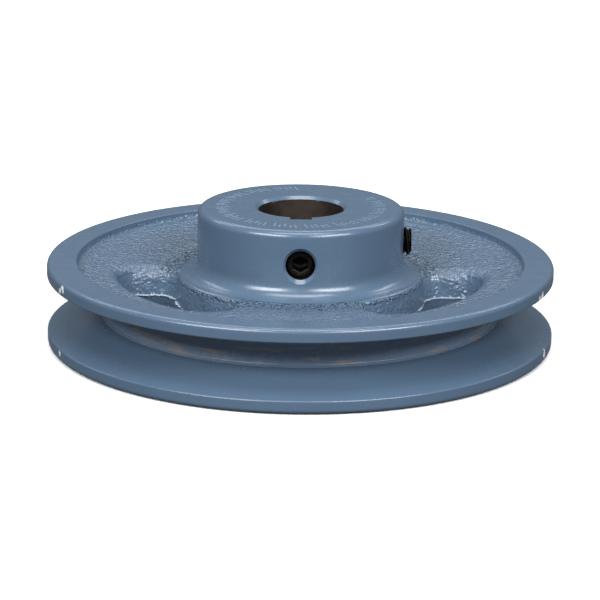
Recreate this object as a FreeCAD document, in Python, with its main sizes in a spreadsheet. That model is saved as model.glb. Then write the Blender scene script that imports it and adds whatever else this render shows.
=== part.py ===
"""Single-groove V-belt pulley with a finished bore, a keyseat and two socket set screws.

The model is in millimetres, +Z up. The origin is where the bore's axis meets the plane of the
rim's lower face, which the lower end of the hub shares. The hub's nose points to +Z, the keyseat
and its set screw are on the -Y side, and the second set screw is on the +X side.

Each physical piece is one body:
  pulley_casting      rim, web and hub, cast in one piece, then machined
  keyseat_set_screw   set screw that clamps the key
  side_set_screw      set screw that bears on the shaft, a quarter turn away
"""
import FreeCAD, Part
import math
import os

import Sketcher

V = FreeCAD.Vector

# Driving dimensions: alias, value, what it is. Lengths in mm, angles in degrees.
DIMENSIONS = [
    ("rim_diameter", 113.03, "outside diameter, 4.45 in"),
    ("face_width", 18.256, "width of the rim, 23/32 in"),
    ("rim_corner_radius", 1.0, "rounding of the rim's outer corners"),
    ("groove_mouth", 12.5, "belt groove width at the rim's outside diameter"),
    ("groove_angle", 34.0, "included angle of the belt groove"),
    ("groove_depth", 12.775, "radial depth of the belt groove"),
    ("groove_lip_radius", 0.35, "rounding of the groove's two lips"),
    ("land_inner_radius", 49.9, "inner edge of the machined land on the upper face"),
    ("recess_depth", 1.7, "upper recess at the land's wall"),
    ("recess_foot_radius", 0.7, "fillet at the foot of the land's wall"),
    ("web_dish", 1.7, "further fall of the web's upper side from the land to the hub"),
    ("web_inner_radius", 28.4, "where the web's upper side ends at the hub's ledge"),
    ("web_bottom", 6.1, "height of the web's lower side above the lower face"),
    ("skirt_radius_low", 46.5, "inner radius of the rim at the lower face"),
    ("skirt_radius_high", 41.0, "inner radius of the rim at the web's lower side"),
    ("boss_radius_low", 25.0, "radius of the hub at the lower face"),
    ("boss_radius_high", 26.0, "radius of the hub at the web's lower side"),
    ("casting_fillet", 1.5, "cast fillets under the web"),
    ("hub_diameter", 46.04, "turned outside diameter of the hub, 1 13/16 in"),
    ("hub_length", 30.163, "overall length through the bore, 1 3/16 in"),
    ("hub_corner_radius", 1.6, "rounding of the hub's nose"),
    ("hub_fillet_radius", 3.5, "turned fillet at the root of the hub"),
    ("ledge_radius", 26.8, "outer edge of the turned ledge around the hub"),
    ("ledge_drop", 3.0, "depth of the ledge below the upper face of the rim"),
    ("bore_diameter", 19.05, "finished bore, 3/4 in"),
    ("bore_chamfer", 0.65, "chamfer at both ends of the bore"),
    ("key_width", 4.7625, "keyseat width, 3/16 in"),
    ("keyseat_height", 11.73, "top of the keyseat from the bore's axis"),
    ("window_inner_radius", 27.8, "inner side of a window at the parting plane"),
    ("window_outer_radius", 40.0, "outer side of a window at the parting plane"),
    ("window_half_angle", 31.2, "half of the angle that a window spans"),
    ("window_corner_radius", 4.8, "corners of a window"),
    ("window_draft", 8.0, "draft of a window's walls, away from the parting plane"),
    ("window_count", 3.0, "windows in the web, and as many arms between them"),
    ("screw_height", 22.55, "height of both set screws above the lower face"),
    ("screw_diameter", 6.35, "set screw size, 1/4 in"),
    ("screw_length", 9.525, "set screw length, 3/8 in"),
    ("screw_clearance", 0.05, "radial clearance of a set screw in its hole"),
    ("screw_socket_width", 3.175, "hexagon socket across its flats, 1/8 in"),
    ("screw_socket_depth", 3.6, "depth of the hexagon socket"),
    ("screw_end_chamfer", 0.5, "chamfer at the socket end"),
    ("screw_point_chamfer", 0.9, "chamfer at the point"),
    ("screw_cup_radius", 1.7, "radius of the cup in the point"),
    ("screw_cup_depth", 1.0, "depth of the cup in the point"),
    ("hole_countersink", 0.75, "countersink of a set screw hole, radially and in depth"),
    ("keyseat_screw_face", 21.3, "socket end of the keyseat screw from the bore's axis"),
    ("side_screw_face", 24.65, "socket end of the side screw from the bore's axis"),
]


def make_sheet(doc):
    """Write the driving dimensions into a spreadsheet named Dims."""
    sheet = doc.addObject("Spreadsheet::Sheet", "Dims")
    for row, (alias, value, meaning) in enumerate(DIMENSIONS, start=1):
        sheet.set(f"A{row}", alias)
        sheet.set(f"B{row}", str(value))
        sheet.set(f"C{row}", meaning)
        sheet.setAlias(f"B{row}", alias)
    doc.recompute()
    return sheet


def origin_feature(body, role):
    """Return a body's own origin plane or axis by its role."""
    for feature in body.Origin.OriginFeatures:
        if feature.Role == role:
            return feature
    raise ValueError(f"{body.Label} has no {role}")


def new_body(doc, name, label):
    """Add an empty body whose label names its file."""
    body = doc.addObject("PartDesign::Body", name)
    body.Label = label
    return body


def new_sketch(body, name, role, height=None):
    """Add a sketch on one of the body's origin planes, raised by the expression in height."""
    sketch = body.newObject("Sketcher::SketchObject", name)
    sketch.AttachmentSupport = [(origin_feature(body, role), "")]
    sketch.MapMode = "FlatFace"
    if height:
        sketch.setExpression("AttachmentOffset.Base.z", height)
    return sketch


def number(sketch, expression):
    """Evaluate an expression on the sheet as a plain number."""
    value = sketch.evalExpression(expression)
    return float(getattr(value, "Value", value))


def add_outline(sketch, corners):
    """Draw a closed outline through corners, each a pair of expressions in the sketch's plane.

    Each corner's distances from the sketch's origin are constraints bound to its expressions.
    """
    places = [V(number(sketch, across), number(sketch, up), 0) for across, up in corners]
    count = len(places)
    for index in range(count):
        sketch.addGeometry(Part.LineSegment(places[index], places[(index + 1) % count]), False)
    for index in range(count):
        sketch.addConstraint(
            Sketcher.Constraint("Coincident", index, 2, (index + 1) % count, 1)
        )
    for index, (across, up) in enumerate(corners):
        place = places[index]
        for kind, size, expression in (("DistanceX", place.x, across), ("DistanceY", place.y, up)):
            row = sketch.addConstraint(Sketcher.Constraint(kind, -1, 1, index, 1, size))
            sketch.setExpression(f"Constraints[{row}]", expression)


def circle_edges(feature, radius, height):
    """Name the circular edges of a feature with this radius about Z at this height."""
    names = []
    for index, edge in enumerate(feature.Shape.Edges, start=1):
        curve = edge.Curve
        if not isinstance(curve, Part.Circle):
            continue
        on_axis = math.hypot(curve.Center.x, curve.Center.y) < 1e-4
        if on_axis and abs(curve.Radius - radius) < 1e-3 and abs(curve.Center.z - height) < 1e-3:
            names.append(f"Edge{index}")
    if not names:
        raise ValueError(f"no circle of radius {radius} at height {height}")
    return names


def round_edges(doc, body, name, circles, size):
    """Fillet the circles, given as pairs of radius and height, to the radius in size."""
    base = body.Tip
    edges = [edge for radius, height in circles for edge in circle_edges(base, radius, height)]
    fillet = body.newObject("PartDesign::Fillet", name)
    fillet.Base = (base, edges)
    fillet.setExpression("Radius", size)
    body.Tip = fillet
    doc.recompute()
    return fillet


def expect_cut(before, feature):
    """Stop if a subtractive feature removed nothing."""
    removed = before - feature.Shape.Volume
    print(f"  {feature.Name:24s} removes {removed:10.1f} mm3")
    if removed <= 0:
        raise RuntimeError(f"{feature.Name} removes nothing")


def add_window_outline(sketch, sheet):
    """Draw one kidney-shaped window centred on the sketch's +Y axis.

    Two arcs about the bore's axis and two radial ends are joined by four equal corner arcs.
    """
    inner = sheet.window_inner_radius
    outer = sheet.window_outer_radius
    corner = sheet.window_corner_radius
    half = math.radians(sheet.window_half_angle)
    inner_turn = half - math.asin(corner / (inner + corner))
    outer_turn = half - math.asin(corner / (outer - corner))
    upright = math.pi / 2

    def polar(radius, turn):
        """Return the point at this radius, turned clockwise from +Y."""
        return V(radius * math.cos(upright - turn), radius * math.sin(upright - turn), 0)

    def arc(centre, radius, start, end):
        """Return a counter-clockwise arc between two directions."""
        circle = Part.Circle(centre, V(0, 0, 1), radius)
        return Part.ArcOfCircle(circle, start, end)

    along_inner = math.sqrt((inner + corner) ** 2 - corner ** 2)
    along_outer = math.sqrt((outer - corner) ** 2 - corner ** 2)
    pieces = [
        arc(V(0, 0, 0), outer, upright - outer_turn, upright + outer_turn),
        arc(polar(outer - corner, -outer_turn), corner, upright + outer_turn, math.pi + half),
        Part.LineSegment(polar(along_outer, -half), polar(along_inner, -half)),
        arc(polar(inner + corner, -inner_turn), corner, math.pi + half,
            upright + inner_turn + math.pi),
        arc(V(0, 0, 0), inner, upright - inner_turn, upright + inner_turn),
        arc(polar(inner + corner, inner_turn), corner, upright - inner_turn + math.pi,
            2 * math.pi - half),
        Part.LineSegment(polar(along_inner, half), polar(along_outer, half)),
        arc(polar(outer - corner, outer_turn), corner, 2 * math.pi - half,
            2 * math.pi + upright - outer_turn),
    ]
    for piece in pieces:
        sketch.addGeometry(piece, False)
    tangents = [(0, 2, 1, 1), (1, 2, 2, 1), (2, 2, 3, 1), (3, 2, 4, 2),
                (4, 1, 5, 1), (5, 2, 6, 1), (6, 2, 7, 1), (7, 2, 0, 1)]
    for first, first_end, second, second_end in tangents:
        sketch.addConstraint(
            Sketcher.Constraint("Tangent", first, first_end, second, second_end)
        )
    for ring in (0, 4):
        sketch.addConstraint(Sketcher.Constraint("Coincident", ring, 3, -1, 1))
    for end_line in (2, 6):
        sketch.addConstraint(Sketcher.Constraint("PointOnObject", -1, 1, end_line))
    for other in (3, 5, 7):
        sketch.addConstraint(Sketcher.Constraint("Equal", 1, other))
    sizes = [
        (Sketcher.Constraint("Radius", 0, outer), "Dims.window_outer_radius"),
        (Sketcher.Constraint("Radius", 4, inner), "Dims.window_inner_radius"),
        (Sketcher.Constraint("Radius", 1, corner), "Dims.window_corner_radius"),
        (Sketcher.Constraint("Angle", 2, half - upright), "(Dims.window_half_angle - 90) * 1 deg"),
        (Sketcher.Constraint("Angle", 6, upright - half), "(90 - Dims.window_half_angle) * 1 deg"),
    ]
    for constraint, expression in sizes:
        row = sketch.addConstraint(constraint)
        sketch.setExpression(f"Constraints[{row}]", expression)


def make_casting(doc, sheet):
    """Model the one-piece casting: turned blank, belt groove, bore, keyseat, holes, windows."""
    body = new_body(doc, "PulleyCasting", "pulley_casting")
    rim_radius = sheet.rim_diameter / 2
    hub_radius = sheet.hub_diameter / 2
    bore_radius = sheet.bore_diameter / 2
    ledge_height = sheet.face_width - sheet.ledge_drop

    blank_sketch = new_sketch(body, "BlankProfile", "XZ_Plane")
    add_outline(blank_sketch, [
        ("0", "0"),
        ("Dims.boss_radius_low", "0"),
        ("Dims.boss_radius_high", "Dims.web_bottom"),
        ("Dims.skirt_radius_high", "Dims.web_bottom"),
        ("Dims.skirt_radius_low", "0"),
        ("Dims.rim_diameter / 2", "0"),
        ("Dims.rim_diameter / 2", "Dims.face_width"),
        ("Dims.land_inner_radius", "Dims.face_width"),
        ("Dims.land_inner_radius", "Dims.face_width - Dims.recess_depth"),
        ("Dims.web_inner_radius", "Dims.face_width - Dims.recess_depth - Dims.web_dish"),
        ("Dims.ledge_radius", "Dims.face_width - Dims.ledge_drop"),
        ("Dims.hub_diameter / 2", "Dims.face_width - Dims.ledge_drop"),
        ("Dims.hub_diameter / 2", "Dims.hub_length"),
        ("0", "Dims.hub_length"),
    ])
    blank = body.newObject("PartDesign::Revolution", "Blank")
    blank.Profile = blank_sketch
    blank.ReferenceAxis = (blank_sketch, ["V_Axis"])
    blank.Angle = 360
    body.Tip = blank
    doc.recompute()

    # The belt groove is a trapezium with its mouth a little outside the rim.
    groove_sketch = new_sketch(body, "BeltGrooveProfile", "XZ_Plane")
    beyond = 1
    floor_half = "(Dims.groove_mouth / 2 - Dims.groove_depth * tan(Dims.groove_angle * 0.5 deg))"
    mouth_half = f"(Dims.groove_mouth / 2 + {beyond} * tan(Dims.groove_angle * 0.5 deg))"
    floor_radius = "Dims.rim_diameter / 2 - Dims.groove_depth"
    add_outline(groove_sketch, [
        (floor_radius, f"Dims.face_width / 2 - {floor_half}"),
        (f"Dims.rim_diameter / 2 + {beyond}", f"Dims.face_width / 2 - {mouth_half}"),
        (f"Dims.rim_diameter / 2 + {beyond}", f"Dims.face_width / 2 + {mouth_half}"),
        (floor_radius, f"Dims.face_width / 2 + {floor_half}"),
    ])
    before = blank.Shape.Volume
    groove = body.newObject("PartDesign::Groove", "BeltGroove")
    groove.Profile = groove_sketch
    groove.ReferenceAxis = (groove_sketch, ["V_Axis"])
    groove.Angle = 360
    body.Tip = groove
    doc.recompute()
    expect_cut(before, groove)

    lip_low = sheet.face_width / 2 - sheet.groove_mouth / 2
    lip_high = sheet.face_width / 2 + sheet.groove_mouth / 2
    round_edges(doc, body, "GrooveLips", [(rim_radius, lip_low), (rim_radius, lip_high)],
                "Dims.groove_lip_radius")
    round_edges(doc, body, "RimCorners", [(rim_radius, 0), (rim_radius, sheet.face_width)],
                "Dims.rim_corner_radius")
    round_edges(doc, body, "HubCorner", [(hub_radius, sheet.hub_length)],
                "Dims.hub_corner_radius")
    round_edges(doc, body, "HubFillet", [(hub_radius, ledge_height)], "Dims.hub_fillet_radius")
    recess_foot = sheet.face_width - sheet.recess_depth
    round_edges(doc, body, "RecessFoot", [(sheet.land_inner_radius, recess_foot)],
                "Dims.recess_foot_radius")
    under_web = [(sheet.boss_radius_high, sheet.web_bottom),
                 (sheet.skirt_radius_high, sheet.web_bottom)]
    round_edges(doc, body, "UnderWebFillets", under_web, "Dims.casting_fillet")

    # The bore and its two chamfers are turned, and then the keyseat is broached through.
    before = body.Tip.Shape.Volume
    bore_sketch = new_sketch(body, "BoreProfile", "XY_Plane")
    bore_sketch.addGeometry(Part.Circle(V(0, 0, 0), V(0, 0, 1), bore_radius), False)
    bore_sketch.addConstraint(Sketcher.Constraint("Coincident", 0, 3, -1, 1))
    row = bore_sketch.addConstraint(Sketcher.Constraint("Radius", 0, bore_radius))
    bore_sketch.setExpression(f"Constraints[{row}]", "Dims.bore_diameter / 2")
    bore = body.newObject("PartDesign::Pocket", "Bore")
    bore.Profile = bore_sketch
    bore.Type = "ThroughAll"
    bore.Reversed = True
    body.Tip = bore
    doc.recompute()
    expect_cut(before, bore)
    before = bore.Shape.Volume
    ends = circle_edges(bore, bore_radius, 0) + circle_edges(bore, bore_radius, sheet.hub_length)
    bore_ends = body.newObject("PartDesign::Chamfer", "BoreChamfers")
    bore_ends.Base = (bore, ends)
    bore_ends.setExpression("Size", "Dims.bore_chamfer")
    body.Tip = bore_ends
    doc.recompute()
    expect_cut(before, bore_ends)

    # The keyseat's profile reaches from the bore's axis to its top, on the -Y side.
    before = bore_ends.Shape.Volume
    key_sketch = new_sketch(body, "KeyseatProfile", "XY_Plane")
    add_outline(key_sketch, [
        ("-Dims.key_width / 2", "-Dims.keyseat_height"),
        ("Dims.key_width / 2", "-Dims.keyseat_height"),
        ("Dims.key_width / 2", "0"),
        ("-Dims.key_width / 2", "0"),
    ])
    keyseat = body.newObject("PartDesign::Pocket", "Keyseat")
    keyseat.Profile = key_sketch
    keyseat.Type = "ThroughAll"
    keyseat.Reversed = True
    body.Tip = keyseat
    doc.recompute()
    expect_cut(before, keyseat)

    # One countersunk set screw hole is turned about +X, and a pattern adds the one about -Y.
    before = keyseat.Shape.Volume
    hole_sketch = new_sketch(body, "ScrewHoleProfile", "XY_Plane", "Dims.screw_height")
    hole_radius = "(Dims.screw_diameter / 2 + Dims.screw_clearance)"
    outside = 1.5
    add_outline(hole_sketch, [
        ("Dims.bore_diameter / 2 - 2", "0"),
        (f"Dims.hub_diameter / 2 + {outside}", "0"),
        (f"Dims.hub_diameter / 2 + {outside}", f"{hole_radius} + Dims.hole_countersink + {outside}"),
        ("Dims.hub_diameter / 2 - Dims.hole_countersink", hole_radius),
        ("Dims.bore_diameter / 2 - 2", hole_radius),
    ])
    hole = body.newObject("PartDesign::Groove", "SideScrewHole")
    hole.Profile = hole_sketch
    hole.ReferenceAxis = (hole_sketch, ["H_Axis"])
    hole.Angle = 360
    body.Tip = hole
    doc.recompute()
    expect_cut(before, hole)
    before = hole.Shape.Volume
    holes = body.newObject("PartDesign::PolarPattern", "ScrewHoles")
    holes.Originals = [hole]
    holes.Axis = (origin_feature(body, "Z_Axis"), [""])
    holes.Angle = 90
    holes.Occurrences = 2
    holes.Reversed = True
    body.Tip = holes
    doc.recompute()
    expect_cut(before, holes)

    # One window is cut both ways from the parting plane, widening with its draft, and repeated.
    before = holes.Shape.Volume
    window_sketch = new_sketch(body, "WindowProfile", "XY_Plane", "Dims.face_width / 2")
    add_window_outline(window_sketch, sheet)
    window = body.newObject("PartDesign::Pocket", "Window")
    window.Profile = window_sketch
    window.SideType = "Two sides"
    window.Type = "Length"
    window.Type2 = "Length"
    window.setExpression("Length", "Dims.face_width / 2 - Dims.web_bottom + 2")
    window.setExpression("Length2", "Dims.face_width / 2 - Dims.recess_depth + 1.2")
    window.setExpression("TaperAngle", "Dims.window_draft * 1 deg")
    window.setExpression("TaperAngle2", "Dims.window_draft * 1 deg")
    body.Tip = window
    doc.recompute()
    expect_cut(before, window)
    before = window.Shape.Volume
    windows = body.newObject("PartDesign::PolarPattern", "Windows")
    windows.Originals = [window]
    windows.Axis = (origin_feature(body, "Z_Axis"), [""])
    windows.Angle = 360
    windows.setExpression("Occurrences", "Dims.window_count")
    body.Tip = windows
    doc.recompute()
    expect_cut(before, windows)
    return body


def make_set_screw(doc, name, label):
    """Model a socket set screw with a cup point, its point at the origin, its socket to +Z."""
    body = new_body(doc, name, label)
    profile = new_sketch(body, f"{name}Profile", "XZ_Plane")
    point_radius = "Dims.screw_diameter / 2 - Dims.screw_point_chamfer"
    end_radius = "Dims.screw_diameter / 2 - Dims.screw_end_chamfer"
    add_outline(profile, [
        ("0", "Dims.screw_cup_depth"),
        ("Dims.screw_cup_radius", "0"),
        (point_radius, "0"),
        ("Dims.screw_diameter / 2", "Dims.screw_point_chamfer"),
        ("Dims.screw_diameter / 2", "Dims.screw_length - Dims.screw_end_chamfer"),
        (end_radius, "Dims.screw_length"),
        ("0", "Dims.screw_length"),
    ])
    shank = body.newObject("PartDesign::Revolution", f"{name}Shank")
    shank.Profile = profile
    shank.ReferenceAxis = (profile, ["V_Axis"])
    shank.Angle = 360
    body.Tip = shank
    doc.recompute()

    # The socket's corners lie on a circle that is the width across its flats over cos 30.
    before = shank.Shape.Volume
    socket_sketch = new_sketch(body, f"{name}SocketProfile", "XY_Plane", "Dims.screw_length")
    corner = "Dims.screw_socket_width / 2 / cos(30 deg)"
    add_outline(socket_sketch, [
        (f"{corner} * cos({turn} deg)", f"{corner} * sin({turn} deg)")
        for turn in range(30, 390, 60)
    ])
    socket = body.newObject("PartDesign::Pocket", f"{name}Socket")
    socket.Profile = socket_sketch
    socket.Type = "Length"
    socket.setExpression("Length", "Dims.screw_socket_depth")
    body.Tip = socket
    doc.recompute()
    expect_cut(before, socket)
    return body


def place_set_screw(body, outward, face_distance):
    """Turn a set screw's +Z to the outward direction and set its socket end's distance."""
    body.Placement = FreeCAD.Placement(V(0, 0, 0), FreeCAD.Rotation(V(0, 0, 1), outward))
    point_distance = f"({face_distance} - Dims.screw_length)"
    body.setExpression("Placement.Base.x", f"{outward.x} * {point_distance}")
    body.setExpression("Placement.Base.y", f"{outward.y} * {point_distance}")
    body.setExpression("Placement.Base.z", "Dims.screw_height")


def check_document(doc, bodies):
    """Stop if an object of the document failed or a body's shape isn't one valid solid."""
    for item in doc.Objects:
        if "Invalid" in item.State or "Error" in item.State:
            raise RuntimeError(f"{item.Name} failed: {item.State}")
    for body in bodies:
        shape = body.Shape
        if shape.isNull() or not shape.isValid() or len(shape.Solids) != 1:
            raise RuntimeError(f"{body.Label} isn't one valid solid")


def main():
    """Build the pulley, check it and write one STEP file for each piece."""
    os.makedirs("parts", exist_ok=True)
    doc = FreeCAD.newDocument("VBeltPulley")
    sheet = make_sheet(doc)
    casting = make_casting(doc, sheet)
    keyseat_screw = make_set_screw(doc, "KeyseatSetScrew", "keyseat_set_screw")
    side_screw = make_set_screw(doc, "SideSetScrew", "side_set_screw")
    place_set_screw(keyseat_screw, V(0, -1, 0), "Dims.keyseat_screw_face")
    place_set_screw(side_screw, V(1, 0, 0), "Dims.side_screw_face")
    doc.recompute()

    bodies = [casting, keyseat_screw, side_screw]
    check_document(doc, bodies)
    for body in bodies:
        box = body.Shape.BoundBox
        print(f"{body.Label:20s} {body.Shape.Volume:10.1f} mm3  "
              f"x {box.XMin:.2f} {box.XMax:.2f}  y {box.YMin:.2f} {box.YMax:.2f}  "
              f"z {box.ZMin:.2f} {box.ZMax:.2f}")
        body.Shape.exportStep(f"parts/{body.Label}.step")


main()
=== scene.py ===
"""Studio scene of a cast-iron V-belt pulley with a keyed bore and two socket set screws.

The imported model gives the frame. The plain casting and screws are replaced here by surfaces with
the detail of the real ones: a turned rim, a sand-cast web with three windows, a turned hub with a
stamped ring, and threaded set screws. All sizes are in millimetres until a mesh is made.
"""
from __future__ import annotations

import logging
import math
from dataclasses import dataclass
from enum import Enum
from functools import cached_property

import bpy
import numpy as np
from mathutils import Matrix, Vector

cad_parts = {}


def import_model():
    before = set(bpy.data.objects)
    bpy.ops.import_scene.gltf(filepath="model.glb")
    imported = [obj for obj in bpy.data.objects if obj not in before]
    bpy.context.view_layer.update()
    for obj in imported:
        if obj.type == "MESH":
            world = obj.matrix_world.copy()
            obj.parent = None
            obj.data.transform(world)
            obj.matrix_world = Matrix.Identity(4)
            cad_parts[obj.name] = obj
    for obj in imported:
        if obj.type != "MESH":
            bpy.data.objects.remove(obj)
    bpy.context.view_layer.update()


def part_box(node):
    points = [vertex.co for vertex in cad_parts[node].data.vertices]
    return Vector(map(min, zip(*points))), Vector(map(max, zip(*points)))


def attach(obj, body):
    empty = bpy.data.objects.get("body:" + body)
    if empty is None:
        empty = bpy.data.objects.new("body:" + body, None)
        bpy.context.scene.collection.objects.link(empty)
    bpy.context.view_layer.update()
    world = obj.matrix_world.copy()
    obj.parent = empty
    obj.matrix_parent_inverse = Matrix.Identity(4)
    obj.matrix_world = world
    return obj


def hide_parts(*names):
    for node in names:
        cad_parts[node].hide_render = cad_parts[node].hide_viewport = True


LOG = logging.getLogger("pulley")
Socket = bpy.types.NodeSocket
MM = 0.001
FACE_WIDTH = 18.256  # width of the rim, from one flange's outer face to the other's


class Skin(Enum):
    """How a painted surface was made before it was sprayed."""

    TURNED = 0
    CAST = 1


# Paint numbers of the finishes that only one piece has, after its two enamels.
THIRD_FINISH = 2
FOURTH_FINISH = 3


# ---------------------------------------------------------------- numbers and surfaces


def srgb(code: str) -> tuple[float, float, float, float]:
    """Turn an sRGB hex colour into linear values.

    Args:
        code: The colour as "#RRGGBB".

    Returns:
        Linear red, green and blue, and an alpha of 1.
    """
    parts = np.array([int(code[place:place + 2], 16) for place in (1, 3, 5)]) / 255
    linear = np.where(parts <= 0.04045, parts / 12.92, ((parts + 0.055) / 1.055) ** 2.4)
    return (float(linear[0]), float(linear[1]), float(linear[2]), 1.0)


class SmoothNoise:
    """Gradient noise: each cell corner holds a random slope, blended across the cell."""

    def __init__(self, seed: int) -> None:
        """Draw the table of slopes from a fixed seed."""
        draw = np.random.default_rng(seed)
        slopes = draw.normal(size=(256, 3))
        self.slopes = slopes / np.linalg.norm(slopes, axis=1, keepdims=True)
        self.order = draw.permutation(256)

    def __call__(self, points: np.ndarray, wavelength: float) -> np.ndarray:
        """Give the noise, about -0.7 to 0.7, at each point.

        Args:
            points: Places in millimetres, any shape ending in 3.
            wavelength: Size of a cell in millimetres.

        Returns:
            One value for each point.
        """
        scaled = points / wavelength
        cell = np.floor(scaled).astype(int)
        inside = scaled - cell
        fade = inside ** 3 * (inside * (inside * 6 - 15) + 10)
        total = np.zeros(points.shape[:-1])
        for corner in np.ndindex(2, 2, 2):
            step = np.array(corner)
            key = cell + step
            row = self.order[key[..., 0] % 256]
            row = self.order[(row + key[..., 1]) % 256]
            row = self.order[(row + key[..., 2]) % 256]
            height = np.sum(self.slopes[row] * (inside - step), axis=-1)
            weight = np.prod(np.where(step == 1, fade, 1 - fade), axis=-1)
            total += weight * height
        return total


def cast_skin(points: np.ndarray, noise: SmoothNoise) -> np.ndarray:
    """Give the height of a sand-cast skin, in about -1 to 1, at each point.

    Waves 1.7 mm long are the packed sand, finer ones about half as long break them up, and
    broad ones let the whole surface rise and fall.

    Args:
        points: Places in millimetres.
        noise: The casting's own noise.

    Returns:
        One height for each point.
    """
    coarse = noise(points, 1.7)
    middle = noise(points + 31.7, 0.95)
    broad = noise(points + 77.1, 6.5)
    return 1.15 * coarse + 0.6 * middle + 0.7 * broad


def rounded_path(corners: list[tuple[float, float, float]], spacing: float,
                 closed: bool = True) -> np.ndarray:
    """Sample a path of straight runs joined by arcs.

    Each corner is cut by an arc that touches both its runs, sampled every 9 degrees at most.

    Args:
        corners: Radius, height and corner radius of each corner, in order.
        spacing: Longest step along a straight run.
        closed: Whether the last corner joins the first.

    Returns:
        Radius and height of each sample, as rows.
    """
    places = np.array([corner[:2] for corner in corners], float)
    count = len(corners)
    starts, ends, arcs = [], [], []
    for index in range(count):
        radius = corners[index][2]
        back = places[index - 1] - places[index]
        ahead = places[(index + 1) % count] - places[index]
        back = back / np.linalg.norm(back)
        ahead = ahead / np.linalg.norm(ahead)
        if radius <= 0 or (not closed and index in (0, count - 1)):
            starts.append(places[index])
            ends.append(places[index])
            arcs.append(places[index][None])
            continue
        half = math.acos(float(np.clip(back @ ahead, -1, 1))) / 2
        swing = math.pi - 2 * half
        reach = radius / math.tan(half)
        middle = back + ahead
        centre = places[index] + middle / np.linalg.norm(middle) * radius / math.sin(half)
        first = places[index] + back * reach
        last = places[index] + ahead * reach
        steps = max(2, math.ceil(math.degrees(swing) / 9))
        turn = np.linspace(0, 1, steps + 1)[:, None]
        from_centre = (first - centre) * np.sin((1 - turn) * swing)
        from_centre = (from_centre + (last - centre) * np.sin(turn * swing)) / math.sin(swing)
        starts.append(first)
        ends.append(last)
        arcs.append(centre + from_centre)
    rows = []
    for index in range(count):
        rows.append(arcs[index])
        if not closed and index == count - 1:
            break
        gap = starts[(index + 1) % count] - ends[index]
        steps = max(1, math.ceil(float(np.linalg.norm(gap)) / spacing))
        part = np.linspace(0, 1, steps + 1)[1:-1, None]
        rows.append(ends[index] + gap * part)
    return np.concatenate(rows)


def around(radius: float | np.ndarray, azimuth: float | np.ndarray,
           height: float | np.ndarray) -> np.ndarray:
    """Place points about Z: x and y are the radius times the cosine and sine of the azimuth.

    Args:
        radius: Distance of each point from Z.
        azimuth: Azimuth of each point in radians, counted from X.
        height: Height of each point.

    Returns:
        The points, in the shape that radius and azimuth have together, ending in 3.
    """
    across = radius * np.cos(azimuth)
    along = radius * np.sin(azimuth)
    return np.stack([across, along, np.broadcast_to(height, across.shape)], axis=-1)


def in_plan(radius: float | np.ndarray, azimuth: float | np.ndarray) -> np.ndarray:
    """Place points about the axis in plan, as x and y."""
    return around(radius, azimuth, 0.0)[..., :2]


def revolve(path: np.ndarray, columns: int) -> np.ndarray:
    """Turn a path about Z.

    Args:
        path: Radius and height of each row.
        columns: Steps in the full turn, which starts at -Y.

    Returns:
        A grid of points, rows by columns by 3.
    """
    azimuth = np.linspace(0, 2 * np.pi, columns, endpoint=False) - np.pi / 2
    return around(path[:, 0:1], azimuth, path[:, 1:2])


def stand_out(mesh: bpy.types.Mesh, outward: tuple[float, float, float], reach: float,
              height: float) -> None:
    """Turn a mesh that was made along Z so that it points outwards, and move it to its place.

    Args:
        mesh: The mesh to move.
        outward: Direction that its own Z axis takes.
        reach: Distance to move it that way, in millimetres.
        height: Height to lift it to, in millimetres.
    """
    turn = Vector((0, 0, 1)).rotation_difference(Vector(outward)).to_matrix().to_4x4()
    shift = Vector(outward) * (reach * MM) + Vector((0, 0, height * MM))
    mesh.transform(Matrix.Translation(shift) @ turn)


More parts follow.
